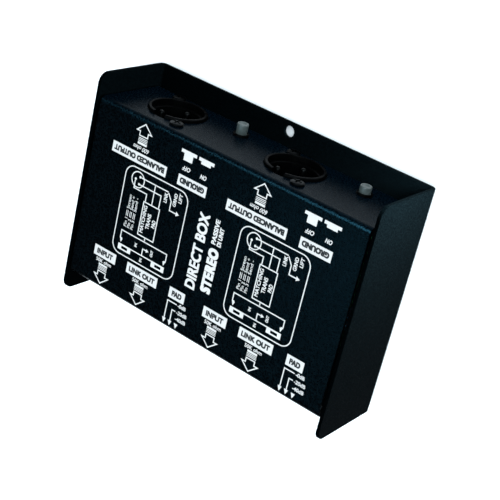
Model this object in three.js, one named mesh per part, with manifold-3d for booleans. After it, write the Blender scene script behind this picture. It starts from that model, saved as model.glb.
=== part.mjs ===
// Two-channel passive direct injection box.
//
// Millimetres, +Z up, origin on the surface under the middle of the box.  The XLR panel faces +Y and the
// jack panel faces -Y.  Two identical channels stand side by side along X: channel 1 at -X, channel 2 at +X.
// A steel U channel makes the base and both side walls.  A second channel, folded the other way, makes the
// printed top and the two connector panels, and slides down between the walls.
import * as THREE from "three";
import { mergeVertices } from "three/addons/utils/BufferGeometryUtils.js";
import Module from "manifold-3d";

const wasm = await Module();
wasm.setup();

// ---------------------------------------------------------------- driving dimensions

const sheet = 1.5; // steel sheet thickness of both channels
const bendRadius = 1; // inside radius of every fold
const slack = 0.3; // gap where one piece passes through another
const seat = 0.1; // gap where one piece rests on another

const shell = { width: 133.6, length: 96, height: 38, cornerRadius: 4.5 };
const cover = { length: 78, wallGap: 1.1, drop: 0.3, lip: 9 };
const foot = { radius: 5, height: 2.3, edge: 0.8, x: 52, y: 36 };
const mountHole = { radius: 2.3, x: 0.9, inset: 3.8 };
const coverScrew = { x: 40, y: 33.5, shank: 1.35, hole: 1.7, head: 2.8, headHeight: 1.5, length: 5 };

const channelPitch = 58.2;
const channelCentre = -channelPitch / 2; // channel 1; channel 2 stands one pitch further along X
const board = { halfX: 61, halfY: 35, bottom: 5.2, thickness: 1.6 };

// Connector axes: x within a channel, z over the underside of the shell.
const xlr = { x: -11, z: 19.1, ring: 11.9, well: 9.5, pinCircle: 6.35 };
const xlrScrew = { x: 9.5, z: 12, shank: 1.35, hole: 1.65, head: 2.8, headHeight: 1.2, length: 3.6 };
const groundButton = { x: 16.3, z: 13, radius: 2.45, out: 4.95, travel: 1.4, hole: 3.2, cap: 4.3 };
const inputJack = { x: -18.2, z: 17 };
const parallelJack = { x: 1.6, z: 17 };
const jack = { bore: 3.25, bush: 4.7, hole: 4.95, width: 15, height: 18, depth: 25.5 };
const attenuator = { x: 19.5, z: 12, step: 3, width: 16, height: 8.6, depth: 9 };
const resistors = { x: [18, 22], y: -12, axisHeight: 1.95 };

// Derived heights and faces.
const panelY = cover.length / 2; // outer face of both connector panels
const boardTop = board.bottom + board.thickness;
const lipBottom = sheet + slack + seat;
const topZ = shell.height - cover.drop;
const coverHalfX = shell.width / 2 - sheet - cover.wallGap;

// ---------------------------------------------------------------- materials

function finish(color, roughness, metalness) {
  return new THREE.MeshStandardMaterial({ color, roughness, metalness });
}

const blackPaint = finish(0x14181a, 0.45, 0.1);
const blackPlastic = finish(0x101214, 0.4, 0);
const blackScrew = finish(0x1a1b1c, 0.35, 0.8);
const greyPlastic = finish(0xc9cccb, 0.45, 0);
const nickel = finish(0xb9bcc0, 0.25, 1);
const silverPlate = finish(0xd0d2d4, 0.2, 1);
const rubber = finish(0x161616, 0.9, 0);
const boardGreen = finish(0x1f5a34, 0.5, 0);
const steelCore = finish(0x7b7f84, 0.5, 0.8);
const bobbinPlastic = finish(0x2b2d30, 0.6, 0);
const windingTape = finish(0xb88a2c, 0.6, 0);
const resistorBody = finish(0x6fa3b8, 0.5, 0);

// ---------------------------------------------------------------- solids

// Closed three.js geometry to a manifold-3d solid.
function solid(geometry) {
  const bare = geometry.clone();
  bare.deleteAttribute("normal");
  bare.deleteAttribute("uv");
  const merged = mergeVertices(bare, 1e-4);
  const vertProperties = Float32Array.from(merged.attributes.position.array);
  const triVerts = Uint32Array.from(merged.index.array);
  return new wasm.Manifold(new wasm.Mesh({ numProp: 3, vertProperties, triVerts }));
}

// manifold-3d solid back to a three.js geometry.
function geometryOf(body) {
  const mesh = body.getMesh();
  const geometry = new THREE.BufferGeometry();
  geometry.setAttribute("position", new THREE.BufferAttribute(mesh.vertProperties, 3));
  geometry.setIndex(new THREE.BufferAttribute(mesh.triVerts, 1));
  geometry.computeVertexNormals();
  return geometry;
}

function block([x0, x1], [y0, y1], [z0, z1]) {
  const geometry = new THREE.BoxGeometry(x1 - x0, y1 - y0, z1 - z0);
  geometry.translate((x0 + x1) / 2, (y0 + y1) / 2, (z0 + z1) / 2);
  return solid(geometry);
}

const axes = {
  x: new THREE.Matrix4().makeBasis(
    new THREE.Vector3(0, 1, 0),
    new THREE.Vector3(0, 0, 1),
    new THREE.Vector3(1, 0, 0),
  ),
  y: new THREE.Matrix4().makeBasis(
    new THREE.Vector3(1, 0, 0),
    new THREE.Vector3(0, 0, 1),
    new THREE.Vector3(0, -1, 0),
  ),
};

// A flat outline pushed along X (drawn in Y, Z), along Y (drawn in X, Z) or along Z (drawn in X, Y).
function pushed(outline, axis, from, to) {
  const shape = new THREE.Shape(outline);
  const geometry = new THREE.ExtrudeGeometry(shape, { depth: to - from, bevelEnabled: false });
  if (axis === "x") geometry.applyMatrix4(axes.x).translate(from, 0, 0);
  if (axis === "y") geometry.applyMatrix4(axes.y).translate(0, to, 0);
  if (axis === "z") geometry.translate(0, 0, from);
  return solid(geometry);
}

// A profile of [radius, height] points turned about Y or, with axis "z", about Z.
function turned(profile, segments, axis = "y") {
  const points = profile.map(([radius, height]) => new THREE.Vector2(radius, height));
  const geometry = new THREE.LatheGeometry(points, segments);
  if (axis === "z") geometry.rotateX(Math.PI / 2);
  return solid(geometry);
}

function rod(radius, from, to, segments = 24, axis = "y") {
  return turned([[0, from], [radius, from], [radius, to], [0, to]], segments, axis);
}

function ring(inner, outer, from, to, segments = 24) {
  return turned([[inner, from], [outer, from], [outer, to], [inner, to], [inner, from]], segments);
}

// Rounds the corners of a polyline; the ends of an open one stay where they are.
function filleted(points, radius, closed = true, steps = 5) {
  const corners = points.map(([x, y]) => new THREE.Vector2(x, y));
  const count = corners.length;
  return corners.flatMap((corner, i) => {
    if (!closed && (i === 0 || i === count - 1)) return [corner];
    const before = corners[(i + count - 1) % count].clone().sub(corner).normalize();
    const after = corners[(i + 1) % count].clone().sub(corner).normalize();
    const half = Math.acos(before.dot(after)) / 2;
    const middle = before.clone().add(after).normalize();
    const centre = corner.clone().addScaledVector(middle, radius / Math.sin(half));
    const start = corner.clone().addScaledVector(before, radius / Math.tan(half)).sub(centre);
    const turn = Math.sign(before.cross(after)) * -1 * (Math.PI - 2 * half);
    return Array.from({ length: steps + 1 }, (_, k) =>
      start.clone().rotateAround(new THREE.Vector2(), (turn * k) / steps).add(centre));
  });
}

function roundedRectangle(halfX, halfY, radius, [cx, cy] = [0, 0]) {
  const corners = [[-1, -1], [1, -1], [1, 1], [-1, 1]];
  return filleted(corners.map(([sx, sy]) => [cx + sx * halfX, cy + sy * halfY]), radius);
}

// The cut edge of a sheet folded at right angles: `outer` is the outside line, walked anticlockwise.
function foldedSheet(outer) {
  const corners = outer.map(([x, y]) => new THREE.Vector2(x, y));
  const inward = corners.slice(1).map((corner, i) => {
    const run = corner.clone().sub(corners[i]).normalize();
    return new THREE.Vector2(-run.y, run.x).multiplyScalar(sheet);
  });
  const inner = corners.map((corner, i) => {
    const point = corner.clone();
    if (i > 0) point.add(inward[i - 1]);
    if (i < inward.length) point.add(inward[i]);
    return point.toArray();
  });
  const outside = filleted(outer, bendRadius + sheet, false);
  const inside = filleted(inner, bendRadius, false);
  return [...outside, ...inside.reverse()];
}

const union = (first, ...rest) => rest.reduce((whole, piece) => whole.add(piece), first);
const cut = (first, ...rest) => rest.reduce((whole, piece) => whole.subtract(piece), first);

// Cross recess of a screw head, sunk `depth` from the head's top at height `top`.
function crossRecess(top, depth, reach, axis = "y") {
  const long = [-reach, reach];
  const narrow = [-0.35, 0.35];
  const sunk = [top - depth, top + 1];
  return axis === "z"
    ? block(long, narrow, sunk).add(block(narrow, long, sunk))
    : block(long, sunk, narrow).add(block(narrow, sunk, long));
}

// Pan-head screw along +axis: shank below 0, head standing above 0.
function panScrew(shank, length, head, height, axis = "y") {
  const profile = [
    [0, -length],
    [shank, -length],
    [shank, 0],
    [head, 0],
    [head, height * 0.4],
    [head * 0.75, height],
    [0, height],
  ];
  return turned(profile, 16, axis).subtract(crossRecess(height, height * 0.65, head * 0.55, axis));
}

// ---------------------------------------------------------------- scene graph

const directBox = new THREE.Group();
const housing = new THREE.Group(); // everything that stands on the feet
housing.position.z = foot.height;
directBox.add(housing);

function place(parent, name, body, material, position = [0, 0, 0]) {
  const mesh = new THREE.Mesh(geometryOf(body), material);
  mesh.name = name;
  mesh.position.set(...position);
  parent.add(mesh);
  return mesh;
}

const channels = [1, 2].map((number) => {
  const group = new THREE.Group();
  group.position.x = channelCentre + (number - 1) * channelPitch;
  housing.add(group);
  return { number, group };
});
const fourCorners = [[-1, 1], [1, 1], [-1, -1], [1, -1]];

// ---------------------------------------------------------------- outer shell: base and side walls

function outerShell() {
  const half = shell.width / 2;
  const section = foldedSheet([[-half, shell.height], [-half, 0], [half, 0], [half, shell.height]]);
  const body = pushed(section, "y", -shell.length / 2, shell.length / 2);
  const radius = shell.cornerRadius;
  // The walls' upper corners are rounded; the outline runs on below the base, so only they are trimmed.
  const halfHeight = shell.height / 2;
  const side = roundedRectangle(shell.length / 2, halfHeight + radius, radius, [0, halfHeight - radius]);
  const trimmed = body.intersect(pushed(side, "x", -half - 1, half + 1));
  const through = (hole, x, y) => rod(hole, -1, sheet + 1, 20, "z").translate([x, y, 0]);
  const mounts = [-1, 1].map((end) =>
    through(mountHole.radius, mountHole.x, end * (shell.length / 2 - mountHole.inset)));
  const screws = fourCorners.map(([sx, sy]) =>
    through(coverScrew.hole, sx * coverScrew.x, sy * coverScrew.y));
  return cut(trimmed, ...mounts, ...screws);
}

place(housing, "outer_shell", outerShell(), blackPaint);

// ---------------------------------------------------------------- cover: printed top and connector panels

function topCover() {
  const lipEnd = panelY - cover.lip;
  const section = foldedSheet([
    [lipEnd, lipBottom],
    [panelY, lipBottom],
    [panelY, topZ],
    [-panelY, topZ],
    [-panelY, lipBottom],
    [-lipEnd, lipBottom],
  ]);
  const body = pushed(section, "x", -coverHalfX, coverHalfX);
  const cuts = [];
  const bored = (end, radius, x, z, segments) =>
    cuts.push(rod(radius, -3, 3, segments).translate([x, end * panelY, z]));
  channels.forEach(({ group }) => {
    const centre = group.position.x;
    bored(1, xlr.ring + 0.25, centre + xlr.x, xlr.z, 40);
    [-1, 1].forEach((s) =>
      bored(1, xlrScrew.hole, centre + xlr.x + s * xlrScrew.x, xlr.z + s * xlrScrew.z, 12));
    bored(1, groundButton.hole, centre + groundButton.x, groundButton.z, 20);
    [inputJack, parallelJack].forEach((socket) => bored(-1, jack.hole, centre + socket.x, socket.z, 24));
    const slot = roundedRectangle(attenuator.step + 2.2, 2.1, 0.5, [centre + attenuator.x, attenuator.z]);
    cuts.push(pushed(slot, "y", -panelY - 3, -panelY + 3));
  });
  fourCorners.forEach(([sx, sy]) => {
    const hole = rod(coverScrew.shank + slack, 0, 4, 12, "z");
    cuts.push(hole.translate([sx * coverScrew.x, sy * coverScrew.y, 0]));
  });
  return cut(body, ...cuts);
}

place(housing, "top_cover", topCover(), blackPaint);

// ---------------------------------------------------------------- feet and the cover's screws

const footProfile = [
  [0, 0],
  [foot.radius - foot.edge, 0],
  [foot.radius, foot.edge],
  [foot.radius + 0.3, foot.height - seat],
  [0, foot.height - seat],
];

fourCorners.forEach(([sx, sy], i) => {
  const rubberFoot = turned(footProfile, 24, "z");
  place(directBox, `foot_${i + 1}`, rubberFoot, rubber, [sx * foot.x, sy * foot.y, 0]);
  const screw = panScrew(coverScrew.shank, coverScrew.length, coverScrew.head, coverScrew.headHeight, "z");
  const headDown = place(housing, `cover_screw_${i + 1}`, screw, blackScrew);
  headDown.position.set(sx * coverScrew.x, sy * coverScrew.y, -seat);
  headDown.rotation.x = Math.PI;
});

// ---------------------------------------------------------------- circuit board

const boardOutline = roundedRectangle(board.halfX, board.halfY, 2);
place(housing, "circuit_board", pushed(boardOutline, "z", board.bottom, boardTop), boardGreen);

// ---------------------------------------------------------------- XLR sockets

// Local frame: axis along +Y through the origin, y = 0 on the panel's outer face.
const xlrFace = { rim: 1.3, ledge: -1.4, floor: -11.5, rear: -18, flange: -sheet - 0.2 };
const xlrPins = [
  [0, -xlr.pinCircle],
  [-5.75, 2.7],
  [5.75, 2.7],
];

function xlrHousing() {
  const rim = 0.6;
  const arc = [0, 1, 2, 3, 4].map((k) => {
    const angle = (Math.PI / 8) * k;
    return [xlr.ring - rim + rim * Math.cos(angle), xlrFace.rim - rim + rim * Math.sin(angle)];
  });
  const profile = [
    [0, xlrFace.rear],
    [xlr.ring, xlrFace.rear],
    ...arc,
    [10.9, xlrFace.rim],
    [10.6, xlrFace.rim - 0.3],
    [10.6, xlrFace.ledge],
    [xlr.well + 0.3, xlrFace.ledge],
    [xlr.well, xlrFace.ledge - 0.3],
    [xlr.well, xlrFace.floor],
    [0, xlrFace.floor],
  ];
  const collar = turned(profile, 40);
  const back = xlrFace.flange - 1.2;
  const flange = pushed(roundedRectangle(13, 14.7, 2.5), "y", back, xlrFace.flange);
  const flangeHole = rod(9.8, -4, 2, 20);
  const underside = boardTop + seat - xlr.z;
  const base = block([-7.5, 7.5], [xlrFace.rear + 0.5, back], [underside, 3 - xlr.ring]);
  const latchNotch = block([-2.8, 2.8], [-1, 3], [9.9, 13]);
  const screwHoles = [-1, 1].map((s) =>
    rod(xlrScrew.hole, -5, 0, 12).translate([s * xlrScrew.x, 0, s * xlrScrew.z]));
  const pinHoles = xlrPins.map(([x, z]) =>
    rod(1.4, xlrFace.rear - 1, xlrFace.floor + 1, 12).translate([x, 0, z]));
  const plate = flange.subtract(flangeHole);
  return cut(union(collar, plate, base), latchNotch, ...screwHoles, ...pinHoles);
}

// Contact pin with a rounded tip, and its leg down to the board behind the housing.
function xlrPin(height) {
  const tip = -1;
  const pin = turned([[0, -19.6], [1.2, -19.6], [1.2, tip - 0.8], [0.85, tip - 0.2], [0, tip]], 12);
  const leg = block([-0.45, 0.45], [-19.55, -18.6], [boardTop + seat - height, 0]);
  return pin.add(leg);
}

channels.forEach(({ number, group }) => {
  const socket = new THREE.Group();
  socket.position.set(xlr.x, panelY, xlr.z);
  group.add(socket);
  place(socket, `xlr_housing_${number}`, xlrHousing(), blackPlastic);
  xlrPins.forEach(([x, z], i) => {
    place(socket, `xlr_pin_${number}_${i + 1}`, xlrPin(xlr.z + z), silverPlate, [x, 0, z]);
  });
  [-1, 1].forEach((s, i) => {
    const screw = panScrew(xlrScrew.shank, xlrScrew.length, xlrScrew.head, xlrScrew.headHeight);
    const spot = [s * xlrScrew.x, seat, s * xlrScrew.z];
    place(socket, `xlr_screw_${number}_${i + 1}`, screw, blackScrew, spot);
  });
});

// ---------------------------------------------------------------- ground-lift push buttons

const pushSwitch = { front: -sheet - 0.3, rear: -15.5, half: 4.3, well: 1.95, rod: 1.6 };

function groundSwitchBody() {
  const sides = [-pushSwitch.half, pushSwitch.half];
  const low = boardTop + seat - groundButton.z;
  const body = block(sides, [pushSwitch.rear, pushSwitch.front], [low, 5.2]);
  return body.subtract(rod(pushSwitch.well, pushSwitch.rear + 1.2, pushSwitch.front + 1, 24));
}

// Cap, hollow from behind, with a raised rim round a dished face.
function groundCap() {
  const face = groundButton.out;
  const outer = groundButton.radius;
  return turned(
    [
      [0, face - 1.6],
      [pushSwitch.rod + 0.2, face - 1.6],
      [pushSwitch.rod + 0.2, face - groundButton.cap],
      [outer, face - groundButton.cap],
      [outer, face - 0.3],
      [outer - 0.25, face],
      [outer - 0.5, face],
      [outer - 0.8, face - 0.22],
      [0, face - 0.36],
    ],
    24,
  );
}

const groundPlunger = () => rod(pushSwitch.rod, groundButton.out - 14, groundButton.out - 1.9, 20);

channels.forEach(({ number, group }) => {
  const button = new THREE.Group();
  button.position.set(groundButton.x, panelY, groundButton.z);
  group.add(button);
  place(button, `ground_switch_body_${number}`, groundSwitchBody(), blackPlastic);
  const pressed = number === 2 ? -groundButton.travel : 0; // channel 2 stands latched in
  place(button, `ground_plunger_${number}`, groundPlunger(), blackPlastic, [0, pressed, 0]);
  place(button, `ground_button_${number}`, groundCap(), greyPlastic, [0, pressed, 0]);
});

// ---------------------------------------------------------------- 6.35 mm jack sockets

// Local frame: axis along Y through the origin, y = 0 on the panel's outer face, mouth towards -Y.
const jackFace = { washer: -seat, nut: -0.8, nutEnd: -3.1, bushEnd: -3.9, inside: sheet + 0.2, bushInner: 4 };

function jackBody(height) {
  const inside = jackFace.inside;
  const low = boardTop + seat - height;
  const half = jack.width / 2;
  const body = block([-half, half], [inside, inside + jack.depth], [low, low + jack.height]);
  const bushPocket = rod(jack.bush + 0.2, 0, jackFace.bushInner + slack);
  return cut(body, bushPocket, rod(jack.bore, 0, inside + jack.depth - 1.5));
}

function jackBush() {
  const end = jackFace.bushEnd;
  return turned(
    [
      [jack.bore, jackFace.bushInner],
      [jack.bore, end + 0.6],
      [jack.bore + 0.5, end],
      [jack.bush - 0.3, end],
      [jack.bush, end + 0.3],
      [jack.bush, jackFace.bushInner],
      [jack.bore, jackFace.bushInner],
    ],
    24,
  );
}

function jackNut() {
  const across = 6.9; // centre to corner
  const corners = [0, 1, 2, 3, 4, 5].map((k) => (Math.PI / 3) * k);
  const outline = corners.map((a) => new THREE.Vector2(across * Math.cos(a), across * Math.sin(a)));
  const hexagon = pushed(outline, "y", jackFace.nutEnd, jackFace.nut);
  const chamfer = turned(
    [
      [0, jackFace.nutEnd],
      [across - 0.9, jackFace.nutEnd],
      [across + 0.3, jackFace.nutEnd + 0.7],
      [across + 0.3, jackFace.nut],
      [0, jackFace.nut],
    ],
    24,
  );
  return hexagon.intersect(chamfer).subtract(rod(jack.bush + 0.2, -6, 1));
}

channels.forEach(({ number, group }) => {
  [["input", inputJack], ["parallel", parallelJack]].forEach(([label, spot]) => {
    const socket = new THREE.Group();
    socket.position.set(spot.x, -panelY, spot.z);
    group.add(socket);
    place(socket, `${label}_jack_body_${number}`, jackBody(spot.z), blackPlastic);
    place(socket, `${label}_jack_bush_${number}`, jackBush(), nickel);
    const washer = ring(jack.bush + 0.2, 7.2, -0.7, jackFace.washer);
    place(socket, `${label}_jack_washer_${number}`, washer, nickel);
    place(socket, `${label}_jack_nut_${number}`, jackNut(), nickel);
  });
});

// ---------------------------------------------------------------- attenuator slide switches

// Local frame: y = 0 on the panel's outer face, lever towards -Y, lever in the middle step at x = 0.
const slider = { halfX: 1.9, halfZ: 1.7, tip: -3.2, base: 5, slotHalfZ: 2 };

function attenuatorBody() {
  const inside = jackFace.inside;
  const low = boardTop + seat - attenuator.z;
  const half = attenuator.width / 2;
  const body = block([-half, half], [inside, inside + attenuator.depth], [low, low + attenuator.height]);
  const run = attenuator.step + slider.halfX + slack;
  return body.subtract(block([-run, run], [0, slider.base + slack], [-slider.slotHalfZ, slider.slotHalfZ]));
}

// Lever with a grooved thumb end.
function attenuatorLever() {
  const { halfX, halfZ, tip, base } = slider;
  const lever = block([-halfX, halfX], [tip, base], [-halfZ, halfZ]);
  const grooves = [-1, 0, 1].map((k) => block([k - 0.2, k + 0.2], [tip - 1, tip + 0.35], [-3, 3]));
  return cut(lever, ...grooves);
}

channels.forEach(({ number, group }) => {
  const control = new THREE.Group();
  control.position.set(attenuator.x, -panelY, attenuator.z);
  group.add(control);
  place(control, `attenuator_switch_body_${number}`, attenuatorBody(), blackPlastic);
  // The lever stands at the first step, 0 dB.
  place(control, `attenuator_lever_${number}`, attenuatorLever(), blackPlastic, [-attenuator.step, 0, 0]);
});

// ---------------------------------------------------------------- matching transformers

const transformer = { x: 0.5, y: 3.5, width: 25, height: 21, stack: 13, limb: 4, coil: 18 };

function transformerCore() {
  const { width, height, stack, limb } = transformer;
  const core = block([-width / 2, width / 2], [-stack / 2, stack / 2], [0, height]);
  const windowInner = limb;
  const windowOuter = width / 2 - limb;
  const window = (side) =>
    block(
      side < 0 ? [-windowOuter, -windowInner] : [windowInner, windowOuter],
      [-stack, stack],
      [limb, height - limb],
    );
  return cut(core, window(-1), window(1));
}

// A rectangular sleeve round the centre limb.
function sleeve(gap, thickness, length, [low, high]) {
  const x = transformer.limb + gap;
  const y = transformer.stack / 2 + gap;
  const outer = block([-x - thickness, x + thickness], [-y - length, y + length], [low, high]);
  return outer.subtract(block([-x, x], [-y, y], [low - 1, high + 1]));
}

function transformerBobbin() {
  const low = transformer.limb + slack;
  const high = transformer.height - transformer.limb - slack;
  const tube = sleeve(0.2, 0.8, 0.8, [low, high]);
  const lower = sleeve(0.2, 3.8, 3.4, [low, low + 1]);
  const upper = sleeve(0.2, 3.8, 3.4, [high - 1, high]);
  return union(tube, lower, upper);
}

function transformerWinding() {
  const low = transformer.limb + 1.5;
  const high = transformer.height - transformer.limb - 1.5;
  return sleeve(1.2, 2.4, 2.1, [low, high]);
}

channels.forEach(({ number, group }) => {
  const matching = new THREE.Group();
  matching.position.set(transformer.x, transformer.y, boardTop + seat);
  group.add(matching);
  place(matching, `transformer_core_${number}`, transformerCore(), steelCore);
  place(matching, `transformer_bobbin_${number}`, transformerBobbin(), bobbinPlastic);
  place(matching, `transformer_winding_${number}`, transformerWinding(), windingTape);
});

// ---------------------------------------------------------------- attenuator resistors

function resistor() {
  const body = turned(
    [[0, -3.2], [1.2, -3.2], [1.2, -2], [1, -1.6], [1, 1.6], [1.2, 2], [1.2, 3.2], [0, 3.2]],
    10,
  );
  const wire = rod(0.35, -5, 5, 6);
  const legs = [-1, 1].map((end) => block([-0.3, 0.3], [end * 4.7 - 0.3, end * 4.7 + 0.3], [-1.8, 0]));
  return union(body, wire, ...legs);
}

channels.forEach(({ number, group }) => {
  resistors.x.forEach((x, i) => {
    const spot = [x, resistors.y, boardTop + resistors.axisHeight];
    place(group, `pad_resistor_${number}_${i + 1}`, resistor(), resistorBody, spot);
  });
});

export default directBox;
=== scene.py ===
"""Looks of a stereo direct injection box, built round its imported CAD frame.

Lengths are millimetres in the frame's axes: +X along the long side, +Y towards the XLR panel, +Z up.
Every piece is meshed in place, so an object's own coordinates are the frame's coordinates.
"""

import math

import bmesh
import bpy
from mathutils import Matrix, Vector


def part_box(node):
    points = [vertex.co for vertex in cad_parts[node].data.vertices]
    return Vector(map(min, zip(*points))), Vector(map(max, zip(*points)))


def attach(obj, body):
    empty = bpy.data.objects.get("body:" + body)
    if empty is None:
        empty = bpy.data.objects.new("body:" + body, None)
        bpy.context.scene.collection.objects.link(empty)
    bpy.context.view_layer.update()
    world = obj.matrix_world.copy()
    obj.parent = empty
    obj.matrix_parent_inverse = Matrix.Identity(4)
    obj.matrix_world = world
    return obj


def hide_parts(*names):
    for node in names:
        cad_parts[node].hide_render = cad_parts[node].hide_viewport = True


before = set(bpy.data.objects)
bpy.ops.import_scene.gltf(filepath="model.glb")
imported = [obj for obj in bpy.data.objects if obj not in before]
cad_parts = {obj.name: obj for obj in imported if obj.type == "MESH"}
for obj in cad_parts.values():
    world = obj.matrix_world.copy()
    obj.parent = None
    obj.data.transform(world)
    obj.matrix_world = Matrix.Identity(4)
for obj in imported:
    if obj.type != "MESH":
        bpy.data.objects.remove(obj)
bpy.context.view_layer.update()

MM = 0.001

# Driving sizes, mm.
SHEET = 1.5  # steel thickness
FOLD = 1.0  # inside radius of a fold
EDGE = 0.14  # softened edge of cut steel
SHELL_CORNER = 4.5  # rounded upper corners of the side walls
LIP = 9.0  # the cover's inturned lips
MOUNT_X = 0.9  # the mounting holes' place along the base
MOUNT_INSET = 3.8  # from the mounting holes to the base's ends
INK = 0.035  # thickness of a layer of printed ink
LINE = 0.44  # width of a printed line
INK_STEP = 0.0002  # each printed shape is this much thicker than the one before

# Radii of holes, mm.
MOUNT_HOLE = 2.3
BASE_SCREW_HOLE = 1.7
SCREW_HOLE = 1.65
XLR_HOLE = 12.15
BUTTON_HOLE = 3.2
JACK_HOLE = 4.95

CHANNELS = (1, 2)
CORNERS = (1, 2, 3, 4)  # the cover screws and the feet are numbered by corner

# ------------------------------------------------------------------------------- frame, in mm


def low(node):
    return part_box(node)[0] / MM


def high(node):
    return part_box(node)[1] / MM


def centre(node):
    return (low(node) + high(node)) / 2


TOP = high("top_cover").z
PANEL = high("top_cover").y
XLR = {c: (centre(f"xlr_screw_{c}_1") + centre(f"xlr_screw_{c}_2")) / 2 for c in CHANNELS}
BUTTON = {c: centre(f"ground_button_{c}") for c in CHANNELS}
SLIDE = {c: centre(f"attenuator_switch_body_{c}") for c in CHANNELS}
JACKS = {(kind, c): centre(f"{kind}_jack_bush_{c}") for kind in ("input", "parallel") for c in CHANNELS}
PRINT_SHIFT = -2.65  # from halfway between the XLR socket and the button to the middle of the printing
CHANNEL_X = {c: (XLR[c].x + BUTTON[c].x) / 2 + PRINT_SHIFT for c in CHANNELS}

# ------------------------------------------------------------------------------- materials


class Finish:
    """A procedural material: the Principled shader and the nodes that feed it.

    `constants` are values of the shader's own sockets, named with an underscore for each space.
    """

    def __init__(self, name, **constants):
        self.material = bpy.data.materials.new(name)
        self.material.use_nodes = True
        self.tree = self.material.node_tree
        self.shader = self.tree.nodes["Principled BSDF"]
        for socket, value in constants.items():
            self.shader.inputs[socket.replace("_", " ")].default_value = value
        self.place = self.node("ShaderNodeTexCoord").outputs["Object"]

    def node(self, kind, **properties):
        """New node with its properties set."""
        made = self.tree.nodes.new(kind)
        for key, value in properties.items():
            setattr(made, key, value)
        return made

    def link(self, output, target):
        self.tree.links.new(output, target)

    def stretched(self, scale):
        """Coordinates scaled differently along each axis."""
        mapping = self.node("ShaderNodeMapping")
        mapping.inputs["Scale"].default_value = scale
        self.link(self.place, mapping.inputs["Vector"])
        return mapping.outputs["Vector"]

    def noise(self, size, detail=3.0, roughness=0.55, place=None):
        """Noise whose grains are about `size` mm across."""
        made = self.node("ShaderNodeTexNoise")
        made.inputs["Scale"].default_value = 1 / (size * MM)
        made.inputs["Detail"].default_value = detail
        made.inputs["Roughness"].default_value = roughness
        self.link(place or self.place, made.inputs["Vector"])
        return made.outputs["Fac"]

    def ramp(self, factor, *stops):
        """Colours or grey levels against a factor: (position, colour) pairs."""
        made = self.node("ShaderNodeValToRGB")
        elements = made.color_ramp.elements
        while len(elements) < len(stops):
            elements.new(0.5)
        for element, (position, colour) in zip(elements, stops):
            element.position = position
            element.color = (*colour, 1) if isinstance(colour, tuple) else (colour, colour, colour, 1)
        self.link(factor, made.inputs["Fac"])
        return made.outputs["Color"]

    def colour(self, output):
        """Feeds the base colour."""
        self.link(output, self.shader.inputs["Base Color"])

    def rough(self, output):
        """Feeds the roughness."""
        self.link(output, self.shader.inputs["Roughness"])

    def bump(self, *layers):
        """Height layers as (output, strength, depth in mm), finest last. Returns the finish."""
        normal = None
        for height, strength, depth in layers:
            made = self.node("ShaderNodeBump")
            made.inputs["Strength"].default_value = strength
            made.inputs["Distance"].default_value = depth * MM
            self.link(height, made.inputs["Height"])
            if normal:
                self.link(normal, made.inputs["Normal"])
            normal = made.outputs["Normal"]
        self.link(normal, self.shader.inputs["Normal"])
        return self


def powder_coat(name, gloss, dark, light):
    """Fine-grained paint: its specks differ in colour, height and sharpness of reflection."""
    bluish = (0.25, 0.75, 1.0, 1)
    f = Finish(name, Specular_IOR_Level=gloss, Specular_Tint=bluish)
    grain = f.noise(0.5, 3)
    speck = f.noise(0.65, 2, 0.7)
    f.colour(f.ramp(speck, (0.44, dark), (0.6, light)))
    f.rough(f.ramp(speck, (0.42, 0.12), (0.58, 0.29)))
    return f.bump((speck, 0.9, 0.12), (grain, 0.4, 0.05))


def moulded_black(name, roughness=(0.3, 0.42)):
    """Faintly grained black plastic."""
    f = Finish(name, Specular_IOR_Level=0.02)
    drift = f.noise(3.5, 3)
    f.colour(f.ramp(drift, (0.3, (0.0002, 0.0002, 0.0003)), (0.7, (0.0005, 0.0006, 0.0006))))
    f.rough(f.ramp(drift, (0.3, roughness[0]), (0.7, roughness[1])))
    return f.bump((f.noise(0.25, 2), 0.18, 0.02))


def black_oxide():
    """Blackened steel of the screws, with patches of wear."""
    f = Finish("black_oxide_steel", Metallic=0.25, Specular_IOR_Level=0.03)
    drift = f.noise(0.9, 4)
    f.colour(f.ramp(drift, (0.3, (0.0003, 0.0005, 0.0006)), (0.7, (0.001, 0.0014, 0.0017))))
    f.rough(f.ramp(drift, (0.3, 0.28), (0.7, 0.45)))
    return f.bump((f.noise(0.2, 2), 0.2, 0.01))


def button_plastic():
    """Satin grey plastic."""
    f = Finish("grey_button_plastic", Specular_IOR_Level=0.5, Coat_Weight=0.15, Coat_Roughness=0.15)
    drift = f.noise(2.2, 3)
    f.colour(f.ramp(drift, (0.3, (0.04, 0.048, 0.046)), (0.7, (0.052, 0.062, 0.06))))
    f.rough(f.ramp(drift, (0.3, 0.3), (0.7, 0.42)))
    return f.bump((f.noise(0.3, 2), 0.08, 0.01))


def plated(name, dark, light, roughness):
    """Plated metal with fine turning marks round the Y axis."""
    f = Finish(name, Metallic=1.0)
    drift = f.noise(1.4, 4)
    turning = f.noise(0.18, 2, place=f.stretched((0.15, 1.0, 0.15)))
    f.colour(f.ramp(drift, (0.3, dark), (0.7, light)))
    f.rough(f.ramp(turning, (0.3, roughness - 0.06), (0.7, roughness + 0.08)))
    return f.bump((turning, 0.12, 0.008))


def soft_rubber():
    """Matt rubber with a pebbled skin."""
    f = Finish("black_rubber", Specular_IOR_Level=0.25)
    drift = f.noise(1.6, 4)
    f.colour(f.ramp(drift, (0.3, (0.008, 0.008, 0.008)), (0.7, (0.016, 0.016, 0.017))))
    f.rough(f.ramp(drift, (0.3, 0.78), (0.7, 0.92)))
    return f.bump((f.noise(0.35, 3), 0.35, 0.04))


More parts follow.
